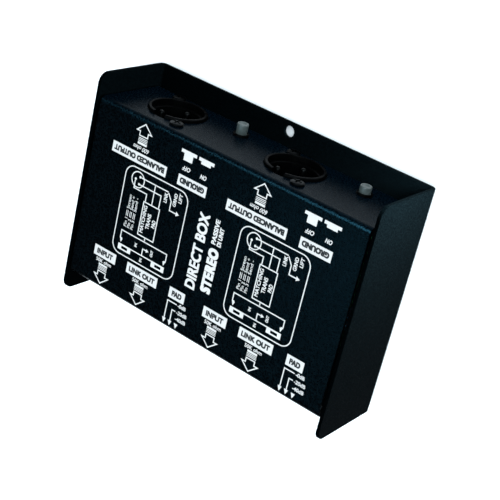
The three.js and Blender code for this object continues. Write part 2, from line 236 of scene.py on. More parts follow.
def solder_mask():
    """Green board with paler copper tracks under the mask."""
    f = Finish("green_solder_mask", Specular_IOR_Level=0.5)
    tracks = f.node("ShaderNodeTexBrick", offset=0.35, squash=0.6, squash_frequency=3)
    tracks.inputs["Scale"].default_value = 90.0
    tracks.inputs["Mortar Size"].default_value = 0.04
    tracks.inputs["Color1"].default_value = (0.012, 0.085, 0.03, 1)
    tracks.inputs["Color2"].default_value = (0.014, 0.1, 0.035, 1)
    tracks.inputs["Mortar"].default_value = (0.03, 0.17, 0.06, 1)
    f.link(f.place, tracks.inputs["Vector"])
    f.colour(tracks.outputs["Color"])
    f.rough(f.ramp(f.noise(2.0, 3), (0.3, 0.3), (0.7, 0.42)))
    return f.bump((tracks.outputs["Fac"], 0.3, 0.03))


def laminated_steel():
    """Stacked transformer plates, seen as bands across Y."""
    f = Finish("laminated_steel", Metallic=0.9)
    layers = f.node("ShaderNodeTexWave", wave_type="BANDS", bands_direction="Y")
    layers.inputs["Scale"].default_value = 640.0
    layers.inputs["Distortion"].default_value = 0.6
    f.link(f.place, layers.inputs["Vector"])
    f.colour(f.ramp(layers.outputs["Fac"], (0.1, (0.1, 0.1, 0.11)), (0.6, (0.3, 0.31, 0.33))))
    f.rough(f.ramp(f.noise(0.8, 3), (0.3, 0.38), (0.7, 0.55)))
    return f.bump((layers.outputs["Fac"], 0.5, 0.05))


def amber_tape():
    """Varnished tape over a winding, its turns stacked along Z."""
    f = Finish("amber_winding_tape", Specular_IOR_Level=0.6)
    turns = f.node("ShaderNodeTexWave", wave_type="BANDS", bands_direction="Z")
    turns.inputs["Scale"].default_value = 260.0
    turns.inputs["Distortion"].default_value = 1.2
    f.link(f.place, turns.inputs["Vector"])
    f.colour(f.ramp(turns.outputs["Fac"], (0.2, (0.42, 0.21, 0.03)), (0.8, (0.6, 0.36, 0.07))))
    f.rough(f.ramp(f.noise(1.2, 3), (0.3, 0.25), (0.7, 0.42)))
    return f.bump((turns.outputs["Fac"], 0.3, 0.05))


def resistor_lacquer():
    """Pale blue lacquer with red bands."""
    blue, red = (0.16, 0.4, 0.52), (0.3, 0.03, 0.02)
    f = Finish("resistor_lacquer", Specular_IOR_Level=0.5)
    bands = f.node("ShaderNodeTexWave", wave_type="BANDS", bands_direction="Y")
    bands.inputs["Scale"].default_value = 170.0
    f.link(f.place, bands.inputs["Vector"])
    f.colour(f.ramp(bands.outputs["Fac"], (0.0, blue), (0.82, blue), (0.86, red)))
    f.rough(f.ramp(f.noise(0.8, 3), (0.3, 0.25), (0.7, 0.4)))
    return f.bump((f.noise(0.5, 2), 0.1, 0.01))


def screen_ink(name, dark, light):
    """Matt, slightly mottled ink."""
    f = Finish(name, Specular_IOR_Level=0.2)
    mottle = f.noise(0.8, 3)
    f.colour(f.ramp(mottle, (0.3, dark), (0.7, light)))
    f.rough(f.ramp(f.noise(0.4, 3), (0.3, 0.5), (0.7, 0.66)))
    return f.bump((f.noise(0.3, 3), 0.15, 0.01))


def pale_floor():
    """Plain pale floor with a broad, faint mottle."""
    f = Finish("pale_floor", Specular_IOR_Level=0.1, Roughness=0.8)
    f.colour(f.ramp(f.noise(60, 3), (0.3, (0.94, 0.88, 0.87)), (0.7, (0.96, 0.9, 0.89))))
    return f


COVER_PAINT = powder_coat("black_powder_coat", 0.017, (0.0001, 0.0002, 0.0003), (0.0005, 0.001, 0.0014))
# The base and walls get their own copy of the cover's paint, darker and almost without reflection: painted
# shade that keeps them black.
SHADED_SHELL_PAINT = powder_coat("shaded_black_powder_coat", 0.0005, (0.0001, 0.00025, 0.00035),
                          (0.0002, 0.0005, 0.00065))
PLASTIC = moulded_black("moulded_black_plastic")
SCREW = black_oxide()
BUTTON_GREY = button_plastic()
NICKEL = plated("nickel_plate", (0.27, 0.265, 0.255), (0.37, 0.365, 0.35), 0.26)
# The contacts' silver is darkened almost to black: painted shade, standing in for the shade deep in the
# sockets' wells.
SHADE_DARK_SILVER = plated("silver_plate", (0.003, 0.0034, 0.0034), (0.009, 0.0095, 0.0095), 0.35)
RUBBER = soft_rubber()
BOARD = solder_mask()
CORE = laminated_steel()
BOBBIN = moulded_black("bobbin_black_plastic", (0.45, 0.6))
TAPE = amber_tape()
LACQUER = resistor_lacquer()
WHITE_INK = screen_ink("white_screen_ink", (0.42, 0.38, 0.365), (0.47, 0.43, 0.415))
BLACK_INK = screen_ink("black_screen_ink", (0.004, 0.005, 0.006), (0.008, 0.009, 0.01))

# ------------------------------------------------------------------------------- mesh building


def arc(middle, radius, start, end, steps):
    """Points on an arc, angles in degrees."""
    angles = [math.radians(start + (end - start) * k / steps) for k in range(steps + 1)]
    return [(middle[0] + radius * math.cos(a), middle[1] + radius * math.sin(a)) for a in angles]


def circle(middle, radius, steps):
    """Points round a circle, each one once."""
    return arc(middle, radius, 0, 360 - 360 / steps, steps - 1)


def rounded_box(x0, x1, y0, y1, radius, steps=8):
    """Anticlockwise outline of a rectangle with round corners."""
    left, right, bottom, top = x0 + radius, x1 - radius, y0 + radius, y1 - radius
    corners = [((right, bottom), -90), ((right, top), 0), ((left, top), 90), ((left, bottom), 180)]
    outline = []
    for middle, start in corners:
        outline += arc(middle, radius, start, start + 90, steps)
    return outline


def rounded_path(points, radius):
    """An open polyline with its inner corners rounded."""
    steps = 10
    path = [Vector(points[0])]
    for before, corner, after in zip(points, points[1:], points[2:]):
        corner = Vector(corner)
        back = (Vector(before) - corner).normalized()
        ahead = (Vector(after) - corner).normalized()
        half = back.angle(ahead) / 2
        middle = corner + (back + ahead).normalized() * radius / math.sin(half)
        first = corner + back * radius / math.tan(half) - middle
        turn = (math.pi - 2 * half) * (1 if back.cross(ahead) < 0 else -1)
        path += [middle + Matrix.Rotation(turn * k / steps, 2) @ first for k in range(steps + 1)]
    path.append(Vector(points[-1]))
    return path


def offset_corners(points, distance):
    """The polyline moved to its left by `distance`, with mitred corners."""
    runs = [(Vector(b) - Vector(a)).normalized() for a, b in zip(points, points[1:])]
    lefts = [Vector((-run.y, run.x)) for run in runs]
    moved = []
    for i, point in enumerate(points):
        before = lefts[max(i - 1, 0)]
        after = lefts[min(i, len(lefts) - 1)]
        mitre = (before + after) / (1 + before.dot(after))
        moved.append(Vector(point) + mitre * distance)
    return moved


def folded_section(outer):
    """Cut edge of a sheet folded along an outside polyline, walked anticlockwise."""
    outside = rounded_path(outer, FOLD + SHEET)
    inside = rounded_path(offset_corners(outer, SHEET), FOLD)
    return outside + inside[::-1]


def prism(outline, axis, start, end):
    """Solid pushed along an axis from a flat outline drawn in the other two axes, in order."""
    bm = bmesh.new()
    place = {
        "x": lambda u, v, w: (w, u, v),
        "y": lambda u, v, w: (u, w, v),
        "z": lambda u, v, w: (u, v, w),
    }[axis]
    rings = [[bm.verts.new(Vector(place(u, v, w)) * MM) for u, v in outline] for w in (start, end)]
    bm.faces.new(rings[0])
    bm.faces.new(rings[1])
    for a, b, c, d in zip(rings[0], rings[0][1:] + rings[0][:1], rings[1][1:] + rings[1][:1], rings[1]):
        bm.faces.new((a, b, c, d))
    bmesh.ops.recalc_face_normals(bm, faces=bm.faces)
    return bm


def cuboid(low_corner, high_corner):
    """Box between two opposite corners."""
    (x0, y0, z0), (x1, y1, z1) = low_corner, high_corner
    return prism([(x0, y0), (x1, y0), (x1, y1), (x0, y1)], "z", z0, z1)


def turned(profile, origin, direction="y", segments=72):
    """Profile of (radius, height) points turned about the axis through `origin`.

    A profile that ends on its first point makes a ring.
    """
    bm = bmesh.new()
    closed = profile[0] == profile[-1]
    frame_of = {
        "y": lambda r, a, h: Vector((r * math.cos(a), h, r * math.sin(a))),
        "z": lambda r, a, h: Vector((r * math.cos(a), r * math.sin(a), h)),
    }[direction]
    angles = [2 * math.pi * k / segments for k in range(segments)]
    rings = []
    for radius, height in profile[:-1] if closed else profile:
        count = angles if radius > 0 else angles[:1]
        rings.append([bm.verts.new((origin + frame_of(radius, a, height)) * MM) for a in count])
    pairs = list(zip(rings, rings[1:]))
    if closed:
        pairs.append((rings[-1], rings[0]))
    for first, second in pairs:
        for k in range(segments):
            corners = [first[k % len(first)], first[(k + 1) % len(first)],
                       second[(k + 1) % len(second)], second[k % len(second)]]
            bm.faces.new(list(dict.fromkeys(corners)))
    bmesh.ops.recalc_face_normals(bm, faces=bm.faces)
    return bm


def rod(radius, start, end, origin, direction="y", segments=64):
    """Round bar from `start` to `end` along the axis through `origin`."""
    return turned([(0, start), (radius, start), (radius, end), (0, end)], origin, direction, segments)


def merged(*parts):
    """Several bmesh bodies in one, side by side."""
    whole = bmesh.new()
    for part in parts:
        loose = bpy.data.meshes.new("loose")
        part.to_mesh(loose)
        part.free()
        whole.from_mesh(loose)
        bpy.data.meshes.remove(loose)
    return whole


def thing(name, bm):
    """Object made of a bmesh, which is freed."""
    mesh = bpy.data.meshes.new(name)
    bm.to_mesh(mesh)
    bm.free()
    made = bpy.data.objects.new(name, mesh)
    bpy.context.scene.collection.objects.link(made)
    return made


def shaped(bm, *steps):
    """Runs boolean steps ("DIFFERENCE" or "INTERSECT" or "UNION", bmesh) on a body and returns the result."""
    body = thing("work", bm)
    cutters = []
    for operation, other in steps:
        cutter = thing("cutter", other)
        cutters.append(cutter)
        modifier = body.modifiers.new(operation, "BOOLEAN")
        modifier.operation = operation
        modifier.solver = "EXACT"
        modifier.object = cutter
    result = bpy.data.meshes.new_from_object(body.evaluated_get(bpy.context.evaluated_depsgraph_get()))
    out = bmesh.new()
    out.from_mesh(result)
    for item in (body, *cutters):
        mesh = item.data
        bpy.data.objects.remove(item)
        bpy.data.meshes.remove(mesh)
    bpy.data.meshes.remove(result)
    bmesh.ops.remove_doubles(out, verts=out.verts, dist=1e-7)
    bmesh.ops.dissolve_limit(out, angle_limit=0.002, verts=out.verts, edges=out.edges)
    return out


def soften(target, width):
    """Rounds sharp edges and keeps flat faces flat."""
    bevel = target.modifiers.new("edges", "BEVEL")
    bevel.width = width * MM
    bevel.segments = 2
    bevel.limit_method = "ANGLE"
    bevel.angle_limit = math.radians(40)
    bevel.use_clamp_overlap = True
    flat = target.modifiers.new("flat faces", "WEIGHTED_NORMAL")
    flat.keep_sharp = True


def piece(name, bm, finish, body, replaces=None, edge=0.0, smooth=40):
    """Puts a piece on its body with its finish, in place of the node that it `replaces`.

    `edge` is the width of its softened corners in mm, `smooth` the shading angle in degrees.
    """
    made = thing(name, bm)
    made.data.materials.append(finish.material)
    made.data.shade_smooth()
    if edge:
        soften(made, edge)
    else:
        made.data.set_sharp_from_angle(angle=math.radians(smooth))
    if replaces:
        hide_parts(replaces)
    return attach(made, body)


def at(x, y, z):
    """Point in mm."""
    return Vector((x, y, z))


# ------------------------------------------------------------------------------- sheet metal case


def level_hole(radius, x, y, bottom):
    """Cutter for a round hole in level sheet whose underside is at `bottom`."""
    return rod(radius, -1, SHEET + 1, at(x, y, bottom), "z")


def panel_hole(radius, place, face, segments=64):
    """Cutter for a round hole in a connector panel whose face is at `face`."""
    return rod(radius, -4, 4, at(place.x, face, place.z), segments=segments)


def case_base():
    """Base and side walls: one folded channel, with the walls' upper corners rounded."""
    lo, hi = low("outer_shell"), high("outer_shell")
    section = folded_section([(lo.x, hi.z), (lo.x, lo.z), (hi.x, lo.z), (hi.x, hi.z)])
    side = rounded_box(lo.y, hi.y, lo.z - 3 * SHELL_CORNER, hi.z, SHELL_CORNER, 12)
    screws = [centre(f"cover_screw_{i}") for i in CORNERS]
    holes = [level_hole(BASE_SCREW_HOLE, screw.x, screw.y, lo.z) for screw in screws]
    holes += [level_hole(MOUNT_HOLE, MOUNT_X, end * (hi.y - MOUNT_INSET), lo.z) for end in (-1, 1)]
    bm = shaped(prism(section, "y", lo.y, hi.y), ("INTERSECT", prism(side, "x", lo.x - 1, hi.x + 1)),
                ("DIFFERENCE", merged(*holes)))
    return piece("case_base", bm, SHADED_SHELL_PAINT, "case", "outer_shell", edge=EDGE)


def channel_holes(c, xlr_face, jack_face):
    """Cutters for one channel's connectors, button and slide."""
    half_width, half_height, corner = 5.2, 2.1, 0.5
    holes = [panel_hole(XLR_HOLE, XLR[c], xlr_face, segments=96)]
    holes += [panel_hole(SCREW_HOLE, centre(f"xlr_screw_{c}_{i}"), xlr_face) for i in (1, 2)]
    holes.append(panel_hole(BUTTON_HOLE, BUTTON[c], xlr_face))
    holes += [panel_hole(JACK_HOLE, JACKS[kind, c], jack_face) for kind in ("input", "parallel")]
    x, z = SLIDE[c].x, centre(f"attenuator_lever_{c}").z
    window = rounded_box(x - half_width, x + half_width, z - half_height, z + half_height, corner)
    holes.append(prism(window, "y", jack_face - 4, jack_face + 4))
    return holes


def case_cover():
    """Printed top and both connector panels: a channel folded the other way, with lips underneath."""
    lo, hi = low("top_cover"), high("top_cover")
    section = folded_section([(hi.y - LIP, lo.z), (hi.y, lo.z), (hi.y, hi.z), (lo.y, hi.z), (lo.y, lo.z),
                              (lo.y + LIP, lo.z)])
    holes = [hole for c in CHANNELS for hole in channel_holes(c, hi.y, lo.y)]
    screws = [centre(f"cover_screw_{i}") for i in CORNERS]
    holes += [level_hole(SCREW_HOLE, screw.x, screw.y, lo.z) for screw in screws]
    bm = shaped(prism(section, "x", lo.x, hi.x), ("DIFFERENCE", merged(*holes)))
    return piece("case_cover", bm, COVER_PAINT, "case", "top_cover", edge=EDGE)


SHELL = case_base()
COVER = case_cover()

# ------------------------------------------------------------------------------- screws and feet

SHANK = 1.35  # radius of a screw's shank


def pan_head(radius, height, length, origin, direction, way=1):
    """Pan-head screw with a cross recess, head towards `way` along the axis."""
    angles = [math.pi / 2 * k / 10 for k in range(1, 10)]
    dome = [(radius * math.cos(a), height * (0.5 + 0.5 * math.sin(a))) for a in angles]
    profile = [(0, -length), (SHANK - 0.3, -length), (SHANK, 0.4 - length), (SHANK, 0), (radius - 0.1, 0),
               (radius, 0.12), (radius, height * 0.5), *dome, (0, height)]
    profile = [(r, way * h) for r, h in profile]
    arm, reach = 0.42, radius * 0.62
    bottom, top = sorted((way * height * 0.3, way * (height + 1)))
    if direction == "z":
        bars = [((-reach, -arm, bottom), (reach, arm, top)), ((-arm, -reach, bottom), (arm, reach, top))]
    else:
        bars = [((-reach, bottom, -arm), (reach, top, arm)), ((-arm, bottom, -reach), (arm, top, reach))]
    steps = [("DIFFERENCE", cuboid(origin + Vector(a), origin + Vector(b))) for a, b in bars]
    return shaped(turned(profile, origin, direction, 40), *steps)


def base_screw(i):
    """Screw from below, through the base into the cover's lip."""
    node = f"cover_screw_{i}"
    radius, height = 2.8, 1.5
    seat = low(node).z + height
    place = at(centre(node).x, centre(node).y, seat)
    bm = pan_head(radius, height, high(node).z - seat, place, "z", way=-1)
    piece(f"base_screw_{i}", bm, SCREW, "case", node)


def foot(i):
    """Round rubber foot, tapered towards a hollow sole with a rounded edge."""
    node = f"foot_{i}"
    lo, hi, mid = low(node), high(node), centre(node)
    radius, height = (hi.x - lo.x) / 2, hi.z - lo.z
    hollow, hollow_depth, rounding, taper = 2.2, 0.25, 0.8, 0.3
    sole_edge = arc((radius - taper - rounding, rounding), rounding, -90, -8, 8)
    profile = [(0, hollow_depth), (hollow, hollow_depth), (hollow + 0.3, 0), *sole_edge, (radius, height),
               (0, height)]
    bm = turned(profile, at(mid.x, mid.y, lo.z), "z")
    piece(f"foot_pad_{i}", bm, RUBBER, "case", node, smooth=50)


def xlr_screw(c, i):
    """Screw that holds an XLR socket to the panel."""
    node = f"xlr_screw_{c}_{i}"
    lo, hi, mid = low(node), high(node), centre(node)
    radius, height = (hi.x - lo.x) / 2, 1.2
    seat = hi.y - height
    bm = pan_head(radius, height, seat - lo.y, at(mid.x, seat, mid.z), "y")
    piece(f"xlr_fixing_{c}_{i}", bm, SCREW, "case", node)


for corner in CORNERS:
    base_screw(corner)
    foot(corner)
for channel in CHANNELS:
    xlr_screw(channel, 1)
    xlr_screw(channel, 2)

# ------------------------------------------------------------------------------- XLR sockets

# Radii, and places along Y measured from the panel's face.
RING = 11.9  # outside of the collar
RIM = 1.3  # the collar stands this far out
LEDGE = -1.4  # step inside the collar
WELL = 9.5  # the plug's recess
WELL_FLOOR = -11.5
REAR = -18.0
FLANGE_BACK = -2.9
FLANGE_FRONT = -1.7
CONTACT = 1.2

# Half sizes across the socket.
FLANGE_HALF_WIDTH = 13.0
FLANGE_HALF_HEIGHT = 14.7
BLOCK_HALF_WIDTH = 7.5
KEYWAY_HALF_WIDTH = 2.8
LEG_HALF_WIDTH = 0.45


def contact_axis(c, i):
    """Where the axis of a contact's round part meets the panel's face."""
    node = f"xlr_pin_{c}_{i}"
    return at(centre(node).x, PANEL, high(node).z - CONTACT)


def xlr_shell(c):
    """Collar with a keyway notch and a stepped well, a flange behind the panel and a block at the rear."""
    node = f"xlr_housing_{c}"
    origin = at(XLR[c].x, PANEL, XLR[c].z)
    x, z = origin.x, origin.z
    profile = [(0, REAR), (RING - 0.5, REAR), (RING, REAR + 0.5), (RING, 0),
               *arc((RING - 0.6, RIM - 0.6), 0.6, 0, 90, 8), *arc((RING - 1.0, RIM - 0.3), 0.3, 90, 180, 5),
               (RING - 1.3, LEDGE), (WELL + 0.3, LEDGE), (WELL, LEDGE - 0.3), (WELL, WELL_FLOOR),
               (0, WELL_FLOOR)]
    collar = turned(profile, origin, segments=96)
    outline = rounded_box(x - FLANGE_HALF_WIDTH, x + FLANGE_HALF_WIDTH, z - FLANGE_HALF_HEIGHT,
                          z + FLANGE_HALF_HEIGHT, 2.5)
    flange = prism(outline, "y", PANEL + FLANGE_BACK, PANEL + FLANGE_FRONT)
    flange = shaped(flange, ("DIFFERENCE", rod(WELL + 0.3, FLANGE_BACK - 1, 1, origin)))
    block = cuboid((x - BLOCK_HALF_WIDTH, PANEL + REAR + 0.5, low(node).z),
                   (x + BLOCK_HALF_WIDTH, PANEL + FLANGE_BACK, z - WELL + 0.6))
    notch = cuboid(origin + at(-KEYWAY_HALF_WIDTH, -1, WELL + 0.4),
                   origin + at(KEYWAY_HALF_WIDTH, 3, RING + 1.1))
    screws = [centre(f"xlr_screw_{c}_{i}") for i in (1, 2)]
    holes = [rod(SCREW_HOLE, -5, 0.5, at(screw.x, PANEL, screw.z), segments=32) for screw in screws]
    for i in (1, 2, 3):
        holes.append(rod(CONTACT + 0.2, REAR - 1, WELL_FLOOR + 1, contact_axis(c, i), segments=32))
    bm = shaped(collar, ("UNION", flange), ("UNION", block), ("DIFFERENCE", notch),
                ("DIFFERENCE", merged(*holes)))
    piece(f"xlr_shell_{c}", bm, PLASTIC, "case", node, smooth=32)


def xlr_contact(c, i):
    """Round-nosed contact with a flat leg down to the board."""
    node = f"xlr_pin_{c}_{i}"
    lo = low(node)
    back, tip = lo.y - PANEL, high(node).y - PANEL
    axis = contact_axis(c, i)
    angles = [math.pi / 2 * k / 8 for k in range(8)]
    nose = [(CONTACT * math.cos(a), tip - CONTACT + CONTACT * math.sin(a)) for a in angles]
    contact = turned([(0, back), (CONTACT, back), *nose, (0, tip)], axis, segments=32)
    leg = cuboid((axis.x - LEG_HALF_WIDTH, lo.y + 0.05, lo.z), (axis.x + LEG_HALF_WIDTH, lo.y + 1, axis.z))
    bm = shaped(contact, ("UNION", leg))
    # Its colour is painted shade: the silver is darkened to look as shaded as the well.
    piece(f"xlr_contact_{c}_{i}", bm, SHADE_DARK_SILVER, "case", node)


for channel in CHANNELS:
    xlr_shell(channel)
    for contact_number in (1, 2, 3):
        xlr_contact(channel, contact_number)

# ------------------------------------------------------------------------------- ground buttons


def button_cap(c):
    """Cap with a rounded rim round a dished face, hollow towards its stem."""
    node = f"ground_button_{c}"
    outer, rim, dish, stem, hollow = 2.28, 0.42, 0.75, 1.8, -1.6
    length = high(node).y - low(node).y
    brim = outer - rim
    face = [(brim - 0.15, -0.06), (brim - 0.4, -0.4), (brim - 0.65, 0.1 - dish), (brim - 1.0, -dish),
            (0, -dish)]
    profile = [(0, hollow), (stem, hollow), (stem, -length), (outer - 0.1, -length), (outer, 0.1 - length),
               *arc((brim, -rim), rim, 0, 90, 8), *face]
    bm = turned(profile, at(centre(node).x, high(node).y, centre(node).z), segments=64)
    piece(f"button_cap_{c}", bm, BUTTON_GREY, node, node, smooth=45)


def shadow_collar(c):
    """Black collar round the cap, standing out of the panel: painted shade, a dark ring put where the cap's
    shadow falls.
    """
    inside, outside, front, behind = 2.6, 3.15, 0.95, -1.7
    profile = [(inside, behind), (outside, behind), *arc((outside - 0.2, front - 0.2), 0.2, 0, 90, 5),
               (inside + 0.1, front), (inside, front - 0.1), (inside, behind)]
    bm = turned(profile, at(BUTTON[c].x, PANEL, BUTTON[c].z), segments=64)
    piece(f"shadow_collar_{c}", bm, PLASTIC, "case")


for channel in CHANNELS:
    button_cap(channel)
    shadow_collar(channel)

# ------------------------------------------------------------------------------- jack sockets and slides

BUSH = 4.7  # outside radius of a jack's threaded bush
JACK_BORE = 3.25
NUT_CORNER = 6.9  # from a nut's middle to its corners
WASHER = 7.2  # outside radius


def from_jack_panel(node):
    """Both ends of a node along Y, measured from the jack panel's face."""
    return low(node).y + PANEL, high(node).y + PANEL


def jack_bush(kind, c, origin):
    """Threaded bush with a chamfered mouth."""
    node = f"{kind}_jack_bush_{c}"
    end, seat = from_jack_panel(node)
    pitch, depth, last_thread = 0.5, 0.18, -0.9
    threads = []
    start = end + 0.5
    while start < last_thread:
        threads += [(BUSH, start), (BUSH - depth, start + pitch / 2)]
        start += pitch
    profile = [(JACK_BORE, seat), (JACK_BORE, end + 0.6), (JACK_BORE + 0.2, end + 0.2),
               (JACK_BORE + 0.5, end), (BUSH - 0.35, end), *threads, (BUSH, start), (BUSH, seat),
               (JACK_BORE, seat)]
    bm = turned(profile, origin)
    piece(f"{kind}_jack_collar_{c}", bm, NICKEL, "case", node, smooth=25)


def jack_washer(kind, c, origin):
    """Flat washer with a chamfered rim."""
    node = f"{kind}_jack_washer_{c}"
    front, back = from_jack_panel(node)
    bore = BUSH + 0.2
    profile = [(bore, front), (WASHER - 0.15, front), (WASHER, front + 0.15), (WASHER, back), (bore, back),
               (bore, front)]
    piece(f"{kind}_jack_ring_{c}", turned(profile, origin), NICKEL, "case", node)


def jack_nut(kind, c, origin):
    """Hexagon nut with chamfered corners."""
    node = f"{kind}_jack_nut_{c}"
    front, back = from_jack_panel(node)
    blank = prism(circle((origin.x, origin.z), NUT_CORNER, 6), "y", origin.y + front, origin.y + back)
    chamfer = turned([(0, front), (NUT_CORNER - 0.9, front), (NUT_CORNER + 0.3, front + 0.7),
                      (NUT_CORNER + 0.3, back), (0, back)], origin, segments=72)
    bore = rod(BUSH + 0.2, front - 1, back + 1, origin)
    bm = shaped(blank, ("INTERSECT", chamfer), ("DIFFERENCE", bore))
    piece(f"{kind}_jack_hexagon_{c}", bm, NICKEL, "case", node, smooth=20)


def slide_knob(c):
    """Lever with three grooves across its face."""
    node = f"attenuator_lever_{c}"
    lo, hi, middle = low(node), high(node), centre(node).x
    half_groove, deep = 0.2, 0.35
    grooves = [cuboid((middle + k - half_groove, lo.y - 1, lo.z - 1),
                      (middle + k + half_groove, lo.y + deep, hi.z + 1)) for k in (-1, 0, 1)]
    bm = shaped(cuboid(lo, hi), ("DIFFERENCE", merged(*grooves)))
    piece(f"slide_knob_{c}", bm, PLASTIC, node, node, edge=0.12)


for (jack_kind, channel), jack in JACKS.items():
    jack_face = at(jack.x, -PANEL, jack.z)
    jack_bush(jack_kind, channel, jack_face)
    jack_washer(jack_kind, channel, jack_face)
    jack_nut(jack_kind, channel, jack_face)
for channel in CHANNELS:
    slide_knob(channel)

# ------------------------------------------------------------------------------- inside the case

# CAD nodes that stay in view, by the start of their names.
KEPT_NODES = {
    "circuit_board": BOARD,
    "ground_switch_body": PLASTIC,
    "ground_plunger": PLASTIC,
    "input_jack_body": PLASTIC,
    "parallel_jack_body": PLASTIC,
    "attenuator_switch_body": PLASTIC,
    "transformer_core": CORE,
    "transformer_bobbin": BOBBIN,
    "transformer_winding": TAPE,
    "pad_resistor": LACQUER,
}


def finish_kept_nodes():
    """Gives the CAD nodes that stay in view their materials."""
    for name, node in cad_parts.items():
        for start, finish in KEPT_NODES.items():
            if name.startswith(start):
                for slot in node.material_slots:
                    slot.material = finish.material


finish_kept_nodes()

# ------------------------------------------------------------------------------- printing on the cover


def lettering(text, slant, spacing):
    """Mesh of one line of plain letters, a unit high and deep."""
    curve = bpy.data.curves.new("words", "FONT")
    curve.body = text
    curve.size = 1.0
    curve.extrude = 0.5
    curve.shear = slant
    curve.space_character = spacing
    curve.resolution_u = 4
    holder = bpy.data.objects.new("words", curve)
    bpy.context.scene.collection.objects.link(holder)
    mesh = bpy.data.meshes.new_from_object(holder.evaluated_get(bpy.context.evaluated_depsgraph_get()))
    bpy.data.objects.remove(holder)
    bpy.data.curves.remove(curve)
    return mesh


class Print:
    """Flat ink shapes on the top face, gathered in one mesh. `x` shifts everything along the long side.

    Each shape is a hair thicker than the one before, so that shapes which cross never share a face.
    """

    def __init__(self, x=0.0, layer=0):
        self.bm = bmesh.new()
        self.x = x
        self.bottom = TOP + layer * INK - 0.005
        self.top = TOP + (layer + 1) * INK

    def corner(self, point, height):
        """New vertex over a point of the top face."""
        return self.bm.verts.new(Vector((point[0] + self.x, point[1], height)) * MM)

    def next_top(self):
        """Height of the next shape's upper face."""
        self.top += INK_STEP
        return self.top

    def patch(self, outline):
        """Ink inside an outline."""
        top = self.next_top()
        lower = [self.corner(p, self.bottom) for p in outline]
        upper = [self.corner(p, top) for p in outline]
        self.bm.faces.new(lower)
        self.bm.faces.new(upper)
        for a, b, c, d in zip(lower, lower[1:] + lower[:1], upper[1:] + upper[:1], upper):
            self.bm.faces.new((a, b, c, d))

    def box(self, x0, x1, y0, y1):
        """Ink rectangle."""
        self.patch([(x0, y0), (x1, y0), (x1, y1), (x0, y1)])

    def band(self, left, right, closed):
        """Ink between two polylines with matching points."""
        top = self.next_top()
        sides = [[self.corner(p, h) for p in line] for line in (left, right) for h in (self.bottom, top)]
        left_low, left_high, right_low, right_high = sides
        last = len(left) if closed else len(left) - 1
        for i in range(last):
            j = (i + 1) % len(left)
            self.bm.faces.new((left_high[i], left_high[j], right_high[j], right_high[i]))
            self.bm.faces.new((left_low[i], right_low[i], right_low[j], left_low[j]))
            self.bm.faces.new((left_low[i], left_low[j], left_high[j], left_high[i]))
            self.bm.faces.new((right_low[i], right_high[i], right_high[j], right_low[j]))
        if not closed:
            for i in (0, -1):
                self.bm.faces.new((left_low[i], left_high[i], right_high[i], right_low[i]))

    def line(self, *points, closed=False):
        """Ink line through points, LINE wide, with mitred corners."""
        walked = points + points[:2] if closed else points
        left, right = offset_corners(walked, LINE / 2), offset_corners(walked, -LINE / 2)
        if closed:
            left, right = left[1:-1], right[1:-1]
        self.band(left, right, closed)

    def disc(self, x, y, radius):
        """Ink dot."""
        self.patch(circle((x, y), radius, 24))

    def ring(self, x, y, radius):
        """Ink circle, LINE wide."""
        self.band(circle((x, y), radius - LINE / 2, 48), circle((x, y), radius + LINE / 2, 48), True)

    def words(self, text, x0, x1, y0, y1, turn=0, bold=0.055, slant=0.0, spacing=1.0):
        """Lettering stretched to fill a box. `turn` is the reading direction in degrees.

        Shifted copies, up to `bold` mm each way, make it bold: three a direction where two would leave slits.
        """
        mesh = lettering(text, slant, spacing)
        mesh.transform(Matrix.Rotation(math.radians(turn), 4, "Z"))
        plain = [v.co.copy() for v in mesh.vertices]
        spans = [(min(co[k] for co in plain), max(co[k] for co in plain)) for k in range(3)]
        shifts = (-bold, bold) if bold < 0.1 else (-bold, 0, bold)
        for dx, dy in [(dx, dy) for dx in shifts for dy in shifts]:
            goals = [
                (x0 + bold + dx + self.x, x1 - bold + dx + self.x),
                (y0 + bold + dy, y1 - bold + dy),
                (self.bottom, self.next_top()),
            ]
            for vertex, co in zip(mesh.vertices, plain):
                for k, ((a, b), (start, end)) in enumerate(zip(spans, goals)):
                    vertex.co[k] = (start + (co[k] - a) / (b - a) * (end - start)) * MM
            self.bm.from_mesh(mesh)
        bpy.data.meshes.remove(mesh)

    def done(self, name, ink=WHITE_INK):
        """Puts the gathered shapes on the case."""
        bmesh.ops.recalc_face_normals(self.bm, faces=self.bm.faces)
        piece(name, self.bm, ink, "case", smooth=30)


# Label plates, (from, to) along Y, and the lettering on them.
XLR_PLATES = (20.1, 24.5)
XLR_LABELS = (21.15, 23.55)
JACK_PLATES = (-25.4, -20.9)
JACK_LABELS = (-24.35, -21.95)


def connector_arrow(ink, x, y, way):
    """Outlined arrow with a hatched tail that ends at `y`, pointing along +Y or -Y as `way` is 1 or -1."""
    head = [(0, 8.55), (3.75, 5.25), (2.05, 5.25), (2.05, 3.45), (-2.05, 3.45), (-2.05, 5.25), (-3.75, 5.25)]
    half_tail, half_bar = 2.3, 0.15
    ink.line(*[(x + u, y + way * v) for u, v in head][::way], closed=True)
    for k in range(3):
        middle = y + way * (1.35 + 0.6 * k)
        ink.box(x - half_tail, x + half_tail, middle - half_bar, middle + half_bar)
    ink.box(x - half_tail, x + half_tail, *sorted((y, y + way * 0.9)))


def arrowhead(ink, x, y, dx, dy, length, half):
    """Solid arrowhead whose tip is at (x, y), pointing along (dx, dy)."""
    u, v = x - dx * length, y - dy * length
    ink.patch([(x, y), (u - dy * half, v + dx * half), (u + dy * half, v - dx * half)])


def button_picture(ink, left, right, stem_left, stem_right, stem_end):
    """Push button seen from the side: a bar with a stem that ends at `stem_end`."""
    far, near = 34.5, 33.2
    ink.patch([(left, far), (left, near), (stem_left, near), (stem_left, stem_end), (stem_right, stem_end),
               (stem_right, near), (right, near), (right, far)])


